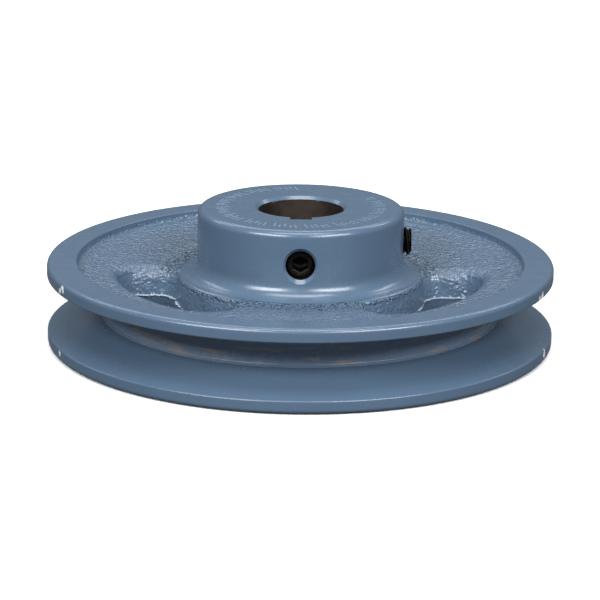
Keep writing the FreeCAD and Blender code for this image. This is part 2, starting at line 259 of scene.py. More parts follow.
class Shell:
    """Grids of points that are welded into one closed surface."""

    def __init__(self) -> None:
        """Start with no grids."""
        self.points: list[np.ndarray] = []
        self.quads: list[np.ndarray] = []
        self.paints: list[np.ndarray] = []
        self.total = 0

    def add(self, grid: np.ndarray, wrap_rows: bool = False, wrap_columns: bool = False,
            paint: int | np.ndarray = 0) -> None:
        """Add a grid of points, with a quad between each pair of rows and columns.

        Args:
            grid: Points, rows by columns by 3.
            wrap_rows: Whether the last row joins the first.
            wrap_columns: Whether the last column joins the first.
            paint: Material index, one for all faces or one for each.
        """
        rows, columns = grid.shape[:2]
        index = np.arange(rows * columns).reshape(rows, columns) + self.total
        if wrap_rows:
            index = np.concatenate([index, index[:1]])
        if wrap_columns:
            index = np.concatenate([index, index[:, :1]], axis=1)
        quads = np.stack([index[:-1, :-1], index[:-1, 1:], index[1:, 1:], index[1:, :-1]], axis=-1)
        self.points.append(grid.reshape(-1, 3))
        self.quads.append(quads.reshape(-1, 4))
        self.paints.append(np.broadcast_to(paint, quads.shape[:2]).reshape(-1))
        self.total += rows * columns

    def build(self, name: str, finishes: tuple[bpy.types.Material, ...] = (),
              sharp: float = 32.0) -> bpy.types.Object:
        """Weld the grids, drop what has no area, face it outwards and make the object.

        Points within a ten-thousandth of a millimetre are one. A quad with two equal corners
        becomes a triangle. The sign of the enclosed volume says which way the faces point.

        Args:
            name: The piece's name.
            finishes: Materials, in the order that the faces' paint counts them.
            sharp: Edges that turn by more than this many degrees stay sharp.

        Returns:
            The new object, with its place in its mesh.
        """
        points = np.concatenate(self.points)
        keys = np.round(points * 1e4).astype(np.int64)
        _, first, same = np.unique(keys, axis=0, return_index=True, return_inverse=True)
        same = same.reshape(-1)
        points = points[first]
        quads = same[np.concatenate(self.quads)]
        paint = np.concatenate(self.paints)
        twin = quads == np.roll(quads, -1, axis=1)
        twins = twin.sum(axis=1)
        whole = twins == 0
        folded = twins == 1
        drop = np.argmax(twin[folded], axis=1)
        keep = np.arange(4)[None] != drop[:, None]
        triangles = quads[folded][keep].reshape(-1, 3)
        full = quads[whole]
        halves = np.concatenate([full[:, [0, 1, 2]], full[:, [0, 2, 3]], triangles])
        a, b, c = (points[halves[:, corner]] for corner in range(3))
        volume = float(np.sum(a * np.cross(b, c))) / 6
        if volume < 0:
            full, triangles = full[:, ::-1], triangles[:, ::-1]
        mesh = bpy.data.meshes.new(name)
        mesh.from_pydata((points * MM).tolist(), [], full.tolist() + triangles.tolist())
        for finish in finishes:
            mesh.materials.append(finish)
        mesh.polygons.foreach_set("material_index", np.concatenate([paint[whole], paint[folded]]))
        mesh.shade_smooth()
        mesh.set_sharp_from_angle(angle=math.radians(sharp))
        mesh.update()
        piece = bpy.data.objects.new(name, mesh)
        bpy.context.scene.collection.objects.link(piece)
        LOG.info("%s: %d faces, %.1f cm3", name, len(full) + len(triangles), abs(volume) / 1000)
        return piece


# ---------------------------------------------------------------- finishes


def add_node(tree: bpy.types.NodeTree, kind: str, settings: dict | None = None,
             **links: object) -> bpy.types.Node:
    """Add a shader node, set it up and link its inputs.

    Args:
        tree: The material's nodes.
        kind: The node's type name.
        settings: Attributes of the node, or values of its inputs by name or number.
        links: Output sockets for its inputs, with underscores for the spaces in their names, or
            i0, i1 and so on for inputs by number.

    Returns:
        The node.
    """
    node = tree.nodes.new(kind)
    for key, value in (settings or {}).items():
        if isinstance(key, str) and hasattr(node, key):
            setattr(node, key, value)
        else:
            node.inputs[key].default_value = value
    for key, socket in links.items():
        name = int(key[1:]) if key[0] == "i" and key[1:].isdigit() else key.replace("_", " ")
        tree.links.new(socket, node.inputs[name])
    return node


class Recipe:
    """A material in the making, with a short call for each step that the finishes share."""

    def __init__(self, name: str) -> None:
        """Start a material with no nodes."""
        self.material = bpy.data.materials.new(name)
        self.material.use_nodes = True
        self.tree = self.material.node_tree
        self.tree.nodes.clear()

    @cached_property
    def place(self) -> Socket:
        """The object's own coordinates."""
        return add_node(self.tree, "ShaderNodeTexCoord").outputs["Object"]

    @cached_property
    def axes(self) -> tuple[Socket, Socket, Socket]:
        """The distance from the pulley's axis, the height and the first coordinate."""
        parts = add_node(self.tree, "ShaderNodeSeparateXYZ", Vector=self.place).outputs
        flat = add_node(self.tree, "ShaderNodeCombineXYZ", X=parts[0], Y=parts[1])
        radius = add_node(self.tree, "ShaderNodeVectorMath", {"operation": "LENGTH"},
                          Vector=flat.outputs[0])
        return radius.outputs["Value"], parts[2], parts[0]

    def noise(self, size: float, detail: float, place: Socket | None = None,
              **settings: float) -> bpy.types.Node:
        """Add noise with waves of a size.

        Args:
            size: Length of its waves in millimetres.
            detail: Number of finer layers.
            place: Coordinates to read it at, or None for the object's own.
            settings: Other values of the node's inputs.

        Returns:
            The node, whose first output is the value and whose second is three values.
        """
        return add_node(self.tree, "ShaderNodeTexNoise",
                        {"Scale": 1 / (size * MM), "Detail": detail, **settings},
                        Vector=self.place if place is None else place)

    def squash(self, scale: tuple[float, float, float]) -> Socket:
        """Scale the coordinates, so that noise read there is drawn out."""
        return add_node(self.tree, "ShaderNodeMapping", {"Scale": scale}, Vector=self.place).outputs[0]

    def ramp(self, value: Socket, low: float, high: float, start: float = 0.0,
             end: float = 1.0) -> Socket:
        """Carry a value's run from low to high over to the run from start to end."""
        return add_node(self.tree, "ShaderNodeMapRange",
                        {"From Min": low, "From Max": high, "To Min": start, "To Max": end},
                        Value=value).outputs[0]

    def combine(self, operation: str, first: Socket, second: Socket) -> Socket:
        """Combine two values by a sum of arithmetic."""
        return add_node(self.tree, "ShaderNodeMath", {"operation": operation},
                        i0=first, i1=second).outputs[0]

    def mix(self, share: Socket, first: str, second: str) -> Socket:
        """Mix two sRGB colours."""
        return add_node(self.tree, "ShaderNodeMix",
                        {"data_type": "RGBA", 6: srgb(first), 7: srgb(second)},
                        i0=share).outputs[2]

    def bump(self, height: Socket, depth: float, **below: Socket) -> Socket:
        """Tilt the surface by a height.

        Args:
            height: The height, where 1 is the full depth.
            depth: The depth in millimetres.
            below: A first tilt, as Normal, that this one adds to.

        Returns:
            The tilted normal.
        """
        return add_node(self.tree, "ShaderNodeBump", {"Distance": depth * MM}, Height=height,
                        **below).outputs[0]

    def finish(self, settings: dict, **links: Socket) -> bpy.types.Material:
        """Add the surface itself and hand the material over."""
        surface = add_node(self.tree, "ShaderNodeBsdfPrincipled", settings, **links)
        add_node(self.tree, "ShaderNodeOutputMaterial", Surface=surface.outputs[0])
        return self.material


@dataclass(frozen=True)
class Enamel:
    """Air-dry machinery enamel, sprayed in one coat over grey iron.

    It lies smooth and fairly glossy over turned metal, whose tool marks show faintly through it,
    and it rounds off the sand texture of the cast skin.
    """

    skin: Skin
    colour: str = "#485B6F"
    shade: str = "#425467"
    cloud_size: float = 14.0
    roughness: float = 0.25
    gloss_swing: float = 0.05
    gloss_size: float = 3.0
    lathe_pitch: float = 0.22
    lathe_height: float = 0.004
    lathe_drift: float = 0.02
    peel_size: float = 0.9
    peel_height: float = 0.010
    grain_size: float = 0.75
    grain_height: float = 0.47
    clump_size: float = 5.0
    web_top: tuple[float, float] = (13.6, 14.4)
    pit_size: float = 0.8
    pit_height: float = 0.90
    pit_band: tuple[float, float] = (30.0, 31.8)
    name: str = ""
    # Grey-brown streaks round the part: a painted reflection on the groove's floor.
    groove_reflection: bool = False
    # Pale spots on the rim's outside: painted highlights where a side light is reflected.
    glint_colour: str = "#DEDFE0"
    glint_size: float = 0.75
    glint_cover: float = 0.85
    glint_wander: float = 1.8
    glint_grain: float = 0.8
    rim_radius: float = 56.5
    painted_glints: tuple[tuple[float, float], ...] = ()

    def build(self) -> bpy.types.Material:
        """Make the material.

        Returns:
            The enamel over turned metal or over the cast skin.
        """
        kind = self.name or self.skin.name.lower()
        recipe = Recipe(f"blue_grey_enamel_over_{kind}_iron")
        if self.groove_reflection:
            share = self._reflection_streaks(recipe)
        else:
            share = recipe.noise(self.cloud_size, 3.0).outputs[0]
        tint = recipe.mix(share, self.colour, self.shade)
        if self.painted_glints:
            tint = self._add_painted_glints(recipe, tint)
        gloss = recipe.ramp(recipe.noise(self.gloss_size, 4.0).outputs[0], 0.3, 0.7,
                            self.roughness - self.gloss_swing, self.roughness + self.gloss_swing)
        normal = self._turned(recipe) if self.skin is Skin.TURNED else self._cast(recipe)
        return recipe.finish({"IOR": 1.5}, Base_Color=tint, Roughness=gloss, Normal=normal)

    def _add_painted_glints(self, recipe: Recipe, tint: Socket) -> Socket:
        """Mix in pale spots with ragged borders on the rim's outside: painted highlights where a side
        light is reflected.

        The noise that makes the borders ragged moves every place by half its swing on average,
        so the spots' centres are moved by as much.

        Args:
            recipe: The material in the making.
            tint: The paint's colour.

        Returns:
            The colour with the painted highlights.
        """
        tree = recipe.tree
        ragged = recipe.noise(self.glint_grain, 3.0).outputs[1]
        shift = add_node(tree, "ShaderNodeVectorMath",
                         {"operation": "SCALE", "Scale": self.glint_wander * MM}, i0=ragged)
        moved = add_node(tree, "ShaderNodeVectorMath", {"operation": "ADD"},
                         i0=recipe.place, i1=shift.outputs[0])
        nearest = None
        for azimuth, height in self.painted_glints:
            spot = around(self.rim_radius, np.radians(azimuth), height) + self.glint_wander / 2
            gap = add_node(tree, "ShaderNodeVectorMath",
                           {"operation": "DISTANCE", 1: tuple(spot * MM)},
                           i0=moved.outputs[0]).outputs["Value"]
            nearest = gap if nearest is None else recipe.combine("MINIMUM", nearest, gap)
        size = self.glint_size * MM
        share = recipe.ramp(nearest, 0.8 * size, 1.1 * size, self.glint_cover, 0.0)
        return add_node(tree, "ShaderNodeMix", {"data_type": "RGBA", 7: srgb(self.glint_colour)},
                        i0=share, i6=tint).outputs[2]

    def _reflection_streaks(self, recipe: Recipe) -> Socket:
        """Make long grey-brown streaks round the part: a painted reflection on the groove's floor."""
        streak = recipe.noise(1.1, 3.0, recipe.squash((0.10, 0.10, 0.7)))
        return recipe.ramp(streak.outputs[0], 0.56, 0.66)

    def _turned(self, recipe: Recipe) -> Socket:
        """Make lathe marks: noise read along radius and height, nearly constant round the part.

        Args:
            recipe: The material in the making.

        Returns:
            The tilted normal, with the marks and the spray's faint orange peel over them.
        """
        radius, height, across = recipe.axes
        drift = add_node(recipe.tree, "ShaderNodeMath",
                         {"operation": "MULTIPLY", 1: self.lathe_drift}, i0=across)
        ring = add_node(recipe.tree, "ShaderNodeCombineXYZ", X=radius, Y=height,
                        Z=drift.outputs[0])
        marks = recipe.noise(self.lathe_pitch, 2.0, ring.outputs[0])
        lathe = recipe.bump(marks.outputs[0], self.lathe_height)
        peel = recipe.noise(self.peel_size, 2.0)
        return recipe.bump(peel.outputs[0], self.peel_height, Normal=lathe)

    def _cast(self, recipe: Recipe) -> Socket:
        """Make the sand grain that is too fine for the mesh, and pits that fade with radius.

        On the web's top the grain is even, and below it lies in clumps. The pits stand on the
        web's top near the hub only.

        Args:
            recipe: The material in the making.

        Returns:
            The tilted normal.
        """
        radius, height, _ = recipe.axes
        top = recipe.ramp(height, self.web_top[0] * MM, self.web_top[1] * MM)
        clump = recipe.ramp(recipe.noise(self.clump_size, 0.0).outputs[0], 0.38, 0.66, 0.3)
        amount = recipe.combine("MAXIMUM", top, clump)
        grain = recipe.noise(self.grain_size, 1.0, Roughness=0.4).outputs[0]
        sand = recipe.bump(recipe.combine("MULTIPLY", grain, amount), self.grain_height)
        sunk = recipe.ramp(recipe.noise(self.pit_size, 1.0).outputs[0], 0.54, 0.68, 0.0, -1.0)
        near = recipe.ramp(radius, self.pit_band[0] * MM, self.pit_band[1] * MM, 1.0, 0.0)
        pits = recipe.combine("MULTIPLY", sunk, recipe.combine("MULTIPLY", near, top))
        return recipe.bump(pits, self.pit_height, Normal=sand)


@dataclass(frozen=True)
class BoredIron:
    """Grey iron bored and broached, then left bare: dark, brownish and dull, with fine rings."""

    colour: str = "#766A64"
    stain: str = "#4A403C"
    stain_size: float = 2.2
    roughness: float = 0.44
    ring_pitch: float = 0.16
    ring_height: float = 0.012

    def build(self) -> bpy.types.Material:
        """Make the material.

        Returns:
            The bare iron.
        """
        recipe = Recipe("bare_bored_grey_iron")
        blotch = recipe.noise(self.stain_size, 5.0).outputs[0]
        rings = recipe.noise(self.ring_pitch, 2.0, recipe.squash((0.12, 0.12, 1.0)))
        return recipe.finish({"Metallic": 1.0, "Roughness": self.roughness},
                             Base_Color=recipe.mix(blotch, self.colour, self.stain),
                             Normal=recipe.bump(rings.outputs[0], self.ring_height))


@dataclass(frozen=True)
class BlackOxide:
    """Alloy steel blackened in hot salts and oiled: near black, with a soft brown sheen."""

    colour: str = "#060404"
    # On the steel the lighter tone is rubbed wear.
    wear_and_highlight: str = "#120D0B"
    rub_size: float = 0.8
    rub_height: float = 0.006
    roughness: float = 0.42
    shine: float = 0.10

    def build(self) -> bpy.types.Material:
        """Make the material.

        Returns:
            The blackened steel.
        """
        recipe = Recipe("black_oxide_alloy_steel")
        rub = recipe.noise(self.rub_size, 4.0).outputs[0]
        tint = recipe.mix(recipe.ramp(rub, 0.45, 0.75), self.colour, self.wear_and_highlight)
        return recipe.finish({"Specular IOR Level": self.shine, "Roughness": self.roughness},
                             Base_Color=tint, Normal=recipe.bump(rub, self.rub_height))


# ---------------------------------------------------------------- the casting


@dataclass
class Groove:
    """The belt groove's section."""

    mouth: float = 12.5
    angle: float = 34.0
    depth: float = 12.775

    @property
    def slope(self) -> float:
        """Widening of one flank for each millimetre of radius."""
        return math.tan(math.radians(self.angle / 2))

    @property
    def floor_half(self) -> float:
        """Half the width of the groove's floor."""
        return self.mouth / 2 - self.depth * self.slope


@dataclass
class Rim:
    """The turned rim with its belt groove, and the cast skirt inside its lower half.

    Its section closes inside the web's metal, through the hidden corners. The dents in its
    flanges are each an azimuth, a height, a width in degrees and a depth.
    """

    radius: float
    width: float
    groove: Groove
    land_inner: float = 49.9
    skirt_low: float = 46.5
    skirt_high: float = 41.25
    web_bottom: float = 6.1
    corner: float = 1.0
    lip: float = 0.35
    rough: float = 0.07
    skirt_facing: tuple[float, float] = (0.74, 0.67)
    columns: int = 540
    hidden: tuple[tuple[float, float], ...] = ((47.5, 15.0), (50.3, 15.6), (50.3, 16.9))
    dents: tuple[tuple[float, float, float, float], ...] = (
        (202.0, 16.6, 0.5, 0.16), (205.2, 16.2, 0.7, 0.10), (208.5, 17.2, 0.4, 0.12),
        (198.0, 1.9, 0.6, 0.14), (201.5, 2.3, 0.5, 0.10), (339.5, 16.6, 0.5, 0.16),
        (337.0, 16.1, 0.6, 0.12), (331.8, 17.0, 0.4, 0.10), (344.0, 1.8, 0.6, 0.12))

    def path(self) -> np.ndarray:
        """Give the rim's closed section, from the land's inner edge outwards and down.

        Returns:
            Radius and height of each sample.
        """
        middle = self.width / 2
        floor = self.radius - self.groove.depth
        mouth_half = self.groove.mouth / 2
        corners = [
            (self.land_inner, self.width, 0.18),
            (self.radius, self.width, self.corner),
            (self.radius, middle + mouth_half, self.lip),
            (floor, middle + self.groove.floor_half, 0.3),
            (floor, middle - self.groove.floor_half, 0.3),
            (self.radius, middle - mouth_half, self.lip),
            (self.radius, 0, self.corner),
            (self.skirt_low, 0, 0.25),
            (self.skirt_high, self.web_bottom, 0),
            (self.skirt_high + 0.1, self.web_bottom + 1.2, 0),
            (self.skirt_high + 0.5, 12.2, 0),
            *((radius, height, 0) for radius, height in self.hidden),
            (self.land_inner, 17.0, 0),
        ]
        return rounded_path(corners, 0.75)

    def _dent(self, grid: np.ndarray) -> None:
        """Knock small dents into the two flanges' edges, each a bell-shaped hollow.

        Args:
            grid: The rim's points, changed in place.
        """
        azimuth = np.degrees(np.arctan2(grid[..., 1], grid[..., 0])) % 360
        radius = np.hypot(grid[..., 0], grid[..., 1])
        inward, tall = 1.2, 0.8
        edge = np.clip((radius - self.radius + inward) / inward, 0, 1)
        for centre, height, width, depth in self.dents:
            across = (azimuth - centre) / width
            along = (grid[..., 2] - height) / tall
            hollow = depth * edge * np.exp(-across ** 2 - along ** 2) / radius
            grid[..., :2] -= hollow[..., None] * grid[..., :2]

    def build(self, noise: SmoothNoise, finishes: tuple[bpy.types.Material, ...]
              ) -> bpy.types.Object:
        """Make the rim.

        Args:
            noise: The casting's skin.
            finishes: The enamel over turned iron, over the cast skin, and the groove floor's enamel
                with grey-brown streaks, a painted reflection.

        Returns:
            The rim as one closed piece.
        """
        path = self.path()
        grid = revolve(path, self.columns)
        skirt_edge = self.skirt_low + 0.3
        skirt_top = self.web_bottom + 0.5
        low = (path[:, 1] < skirt_top) & (path[:, 0] < np.interp(
            path[:, 1], (0.0, skirt_top), (skirt_edge, self.skirt_high + 1.75)))
        fade = np.clip(path[:, 1] / 0.8, 0, 1)
        azimuth = np.arctan2(grid[..., 1], grid[..., 0])
        push = cast_skin(grid, noise) * np.where(low, self.rough * fade, 0)[:, None]
        outward, upward = self.skirt_facing
        grid += around(push * outward, azimuth, push * upward)
        self._dent(grid)
        # A face is cast, or lies on the groove's floor, by where its row of points is.
        ahead = np.roll(low, -1)
        paint = np.where(low & ahead, Skin.CAST.value, Skin.TURNED.value)[:, None]
        floor = path[:, 0] < self.radius - self.groove.depth + 0.6
        floor &= np.abs(path[:, 1] - self.width / 2) < self.groove.floor_half + 0.2
        # The groove's floor takes the enamel with grey-brown streaks, a painted reflection.
        paint = np.where(floor[:, None], THIRD_FINISH, paint)
        shell = Shell()
        shell.add(grid, wrap_rows=True, wrap_columns=True, paint=paint)
        return shell.build("pulley_rim", finishes)


@dataclass
class Web:
    """The sand-cast web: three kidney windows with a parting-line fin, and arms between them.

    Its outer border climbs the land's wall and then closes inside the rim, through the hidden
    corners.
    """

    window_inner: float = 27.8
    window_outer: float = 40.0
    half_angle: float = 31.2
    corner: float = 4.8
    draft: float = 8.0
    parting: float = 9.128
    centres: tuple[float, ...] = (-150.0, -30.0, 90.0)
    bottom: float = 6.1
    inner_hidden: float = 22.0
    top_outer: float = 48.9
    bottom_outer: float = 41.95
    wall: float = 49.88
    edge_round: float = 2.8
    edge_level: float = 16.0
    rough: float = 0.12
    fin_root: float = 0.22
    fin_reach: float = 1.1
    dish_radii: tuple[float, ...] = (24.0, 26.6, 28.4, 49.9)
    dish_heights: tuple[float, ...] = (15.1, 15.2, 14.856, 16.556)
    foot: float = 0.75
    foot_level: float = 16.49
    hidden: tuple[tuple[float, float], ...] = (
        (50.7, 17.55), (50.7, 14.8), (44.8, 12.9), (43.0, 12.2), (42.9, 7.4))

    def top_height(self, radius: np.ndarray) -> np.ndarray:
        """Give the height of the dished upper side: a straight fall from the rim to the hub."""
        return np.interp(radius, self.dish_radii, self.dish_heights)

    def outline(self, counts: tuple[int, int, int]) -> tuple[np.ndarray, ...]:
        """Sample one window's outline at the parting plane, centred on the X axis.

        The outline is two arcs about the pulley's axis, two radial ends and four corner arcs. It
        is split at the middle of each corner, and each of the four sides gets its own count.

        Args:
            counts: Samples along the outer side, each end and the inner side.

        Returns:
            Plan points, plan normals that point away from the window, and the points of the
            sector's border that belong to them, as azimuth and share of the way outwards.
        """
        half = math.radians(self.half_angle)
        inner, outer, corner = self.window_inner, self.window_outer, self.corner
        inner_turn = half - math.asin(corner / (inner + corner))
        outer_turn = half - math.asin(corner / (outer - corner))

        def arc(centre: np.ndarray, radius: float, start: float, end: float) -> np.ndarray:
            """Sample an arc finely."""
            return centre + in_plan(radius, np.linspace(start, end, 400))

        origin = np.zeros(2)
        far = in_plan(outer - corner, outer_turn)
        near = in_plan(inner + corner, inner_turn)
        far_middle = (outer_turn + half + math.pi / 2) / 2
        near_middle = (half + math.pi / 2 + inner_turn + math.pi) / 2
        flip = np.array([1.0, -1.0])
        outer_half = np.concatenate([
            arc(origin, outer, 0, outer_turn), arc(far, corner, outer_turn, far_middle)])
        end_side = np.concatenate([
            arc(far, corner, far_middle, half + math.pi / 2),
            arc(near, corner, half + math.pi / 2, near_middle)])
        inner_half = np.concatenate([
            arc(near, corner, near_middle, inner_turn + math.pi),
            arc(origin, inner, inner_turn, 0)])
        sides = [
            np.concatenate([(outer_half * flip)[::-1], outer_half]),
            end_side,
            np.concatenate([inner_half, (inner_half * flip)[::-1]]),
            (end_side * flip)[::-1],
        ]
        points, azimuths, shares = [], [], []
        sector = math.pi / 3
        borders = [(-sector, sector, 1, 1), (sector, sector, 1, 0),
                   (sector, -sector, 0, 0), (-sector, -sector, 0, 1)]
        side_counts = (counts[0], counts[1], counts[2], counts[1])
        for side, border, count in zip(sides, borders, side_counts):
            step = np.linalg.norm(np.diff(side, axis=0), axis=1)
            travel = np.concatenate([[0], np.cumsum(step)])
            share = np.linspace(0, 1, count, endpoint=False)
            wanted = share * travel[-1]
            points.append(np.stack([np.interp(wanted, travel, side[:, 0]),
                                    np.interp(wanted, travel, side[:, 1])], axis=-1))
            azimuths.append(border[0] + (border[1] - border[0]) * share)
            shares.append(border[2] + (border[3] - border[2]) * share)
        plan = np.concatenate(points)
        along = np.roll(plan, -1, axis=0) - np.roll(plan, 1, axis=0)
        along /= np.linalg.norm(along, axis=1, keepdims=True)
        normal = np.stack([along[:, 1], -along[:, 0]], axis=-1)
        return plan, normal, np.concatenate(azimuths), np.concatenate(shares)

    def edge_rows(self) -> list[tuple[float, float, float]]:
        """Give the section of a window's rounded upper edge, from the upper side to the wall.

        Returns:
            Rows of distance from the parting outline, height from the upper side, and the
            normal's tilt above the plan in degrees.
        """
        lean = math.radians(self.draft)
        rise = self.edge_level - self.parting
        wall = (rise - self.edge_round) * math.tan(lean)
        centre = wall + self.edge_round / math.cos(lean)
        rows = []
        for angle in np.linspace(90, self.draft, 7):
            tilt = math.radians(angle)
            offset = centre - self.edge_round * math.cos(tilt)
            rows.append((offset, -self.edge_round * (1 - math.sin(tilt)), float(angle)))
        return rows

    def sector(self, centre: float, noise: SmoothNoise) -> dict[str, np.ndarray]:
        """Make the surface round one window, out to the borders of its third of the web.

        Rings follow the outline: along the upper side the rings blend from an offset of the outline to
        the sector's border; the edge is an arc; the walls lean by the draft; the fin is a narrow wedge
        at the parting plane whose reach is noise along the outline.

        Args:
            centre: Azimuth of the window's middle, in degrees.
            noise: The casting's skin.

        Returns:
            The grid of rings, which of its rows are the fin, and its border points on the
            upper and lower side.
        """
        counts = (226, 78, 110)
        plan, normal, azimuth, share = self.outline(counts)
        turn = math.radians(centre)
        spin = np.array([[math.cos(turn), math.sin(turn)], [-math.sin(turn), math.cos(turn)]])
        plan, normal = plan @ spin, normal @ spin
        azimuth = azimuth + turn
        flat_normal = np.concatenate([normal, np.zeros((len(normal), 1))], axis=1)
        upward = np.array([0.0, 0.0, 1.0])

        def border(outer: float) -> np.ndarray:
            """Give the sector's border in plan, out to a radius."""
            return in_plan(self.inner_hidden + (outer - self.inner_hidden) * share, azimuth)

        def blend(start: np.ndarray, end: np.ndarray, part: float) -> np.ndarray:
            """Go part of the way between plan points in azimuth and radius."""
            first, last = np.hypot(*start.T), np.hypot(*end.T)
            swing = np.arctan2(end[:, 1], end[:, 0]) - np.arctan2(start[:, 1], start[:, 0])
            swing = (swing + np.pi) % (2 * np.pi) - np.pi
            angle = np.arctan2(start[:, 1], start[:, 0]) + swing * part
            return in_plan(first + (last - first) * part, angle)

        def lift(flat: np.ndarray, height: np.ndarray | float, tilt: float, rough: float
                 ) -> np.ndarray:
            """Raise plan points to a height and push them along the normal by the cast skin."""
            level = np.broadcast_to(height, flat.shape[:1])
            place = np.concatenate([flat, level[:, None]], axis=1)
            lean = math.radians(tilt)
            facing = -flat_normal * math.cos(lean) + upward * math.sin(lean)
            return place + facing * (cast_skin(place, noise) * rough)[:, None]

        edge = self.edge_rows()
        top_ring = plan + normal * edge[0][0]
        top_level = self.top_height(np.hypot(*top_ring.T))
        outer_border = border(self.top_outer)
        rings = []
        for part in np.linspace(1, 0, 27)[:-1]:
            flat = blend(top_ring, outer_border, float(part))
            rings.append(lift(flat, self.top_height(np.hypot(*flat.T)), 90, self.rough))
        for offset, drop, tilt in edge:
            rings.append(lift(plan + normal * offset, top_level + drop, tilt, self.rough))

        lean = math.tan(math.radians(self.draft))
        upper_level = top_level + edge[-1][1]
        ring_place = np.concatenate([plan, np.full((len(plan), 1), self.parting)], axis=1)
        wander = 0.35 * noise(ring_place + 7.3, 5.0) + 0.12 * noise(ring_place, 1.1)
        root = self.parting + wander
        for part in np.linspace(0, 1, 8)[1:]:
            level = upper_level + (root + self.fin_root - upper_level) * part
            offset = edge[-1][0] * (1 - part) + self.fin_root * lean * part
            rings.append(lift(plan + normal * offset, level, self.draft, self.rough))
        above_fin = len(rings) - 1
        reach = self.fin_root + 1.1 * noise(ring_place + 19.0, 3.4)
        reach = np.clip(reach + 0.9 * noise(ring_place + 3.0, 0.8), 0.03, self.fin_reach)[:, None]
        for part, rise, tilt in ((0.75, 0.10, 45), (1.0, 0.0, 0), (0.7, -0.10, -45)):
            rings.append(lift(plan - normal * reach * part, root + rise, tilt, 0.02))
        fin = slice(above_fin, len(rings) - 1)
        depth = self.parting - self.bottom
        wall_end = 0.78
        for part in (0.08, 0.4, wall_end):
            level = root + (self.bottom - root) * part
            rings.append(lift(plan + normal * depth * part * lean, level, -self.draft, self.rough))
        foot = wall_end * depth * lean
        round_over = 0.6
        for tilt in (30.0, 60.0, 90.0):
            angle = math.radians(tilt)
            offset = foot + round_over * (1 - math.cos(angle))
            level = self.bottom + 0.22 * depth * (1 - math.sin(angle))
            rings.append(lift(plan + normal * offset, level, -tilt, self.rough))
        low_ring = plan + normal * (foot + round_over)
        low_border = border(self.bottom_outer)
        for part in np.linspace(0, 1, 12)[1:]:
            flat = blend(low_ring, low_border, float(part))
            rings.append(lift(flat, self.bottom, -90, self.rough))
        grid = np.stack(rings)
        outer_side = slice(0, counts[0] + 1)
        first = counts[0] + counts[1]
        inner_side = slice(first, first + counts[2] + 1)
        return {"grid": grid, "fin": np.arange(len(grid) - 1)[fin],
                "top_outer": grid[0, outer_side], "low_outer": grid[-1, outer_side],
                "top_inner": grid[0, inner_side], "low_inner": grid[-1, inner_side]}

    def outer_strip(self, top: np.ndarray, low: np.ndarray, noise: SmoothNoise) -> np.ndarray:
        """Carry the upper side up the land's wall and hidden through the rim to the underside.

        Args:
            top: Border points of the upper side.
            low: Border points of the lower side.
            noise: The casting's skin.

        Returns:
            A grid from top to low.
        """
        path = [(self.wall - self.foot * (1 - math.sin(turn)),
                 self.foot_level + self.foot * (1 - math.cos(turn)))
                for turn in (math.radians(angle) for angle in (12, 32, 52, 72, 90))]
        path += [(self.wall, 17.37), (self.wall + 0.08, 17.5), *self.hidden]
        azimuth = np.arctan2(top[:, 1], top[:, 0])
        rough = [self.rough * share for share in (0.6, 0.35, 0.15, 0.05)]
        rough += [0.0] * (len(path) - len(rough))
        rows = [top]
        for (radius, height), amount in zip(path, rough):
            place = around(radius, azimuth, height)
            place[:, 2] += cast_skin(place, noise) * amount
            rows.append(place)
        rows.append(low)
        return np.stack(rows)

    def build(self, noise: SmoothNoise, finishes: tuple[bpy.types.Material, ...]
              ) -> bpy.types.Object:
        """Make the web.

        Args:
            noise: The casting's skin.
            finishes: The enamel over turned iron, over the cast skin, and a much lighter enamel on the
                fin, a painted highlight along its edge.

        Returns:
            The web as one closed piece that reaches into the rim and the hub.
        """
        shell = Shell()
        skin = Skin.CAST.value
        for centre in self.centres:
            part = self.sector(centre, noise)
            paint = np.full((len(part["grid"]) - 1, 1), skin)
            # The fin's rows take a much lighter enamel: a painted highlight along its edge.
            paint[part["fin"]] = THIRD_FINISH
            shell.add(part["grid"], wrap_columns=True, paint=paint)
            strip = self.outer_strip(part["top_outer"], part["low_outer"], noise)
            shell.add(strip[:, ::-1], paint=skin)
            shell.add(np.stack([part["top_inner"], part["low_inner"]])[:, ::-1], paint=skin)
        return shell.build("pulley_web", finishes, sharp=50)


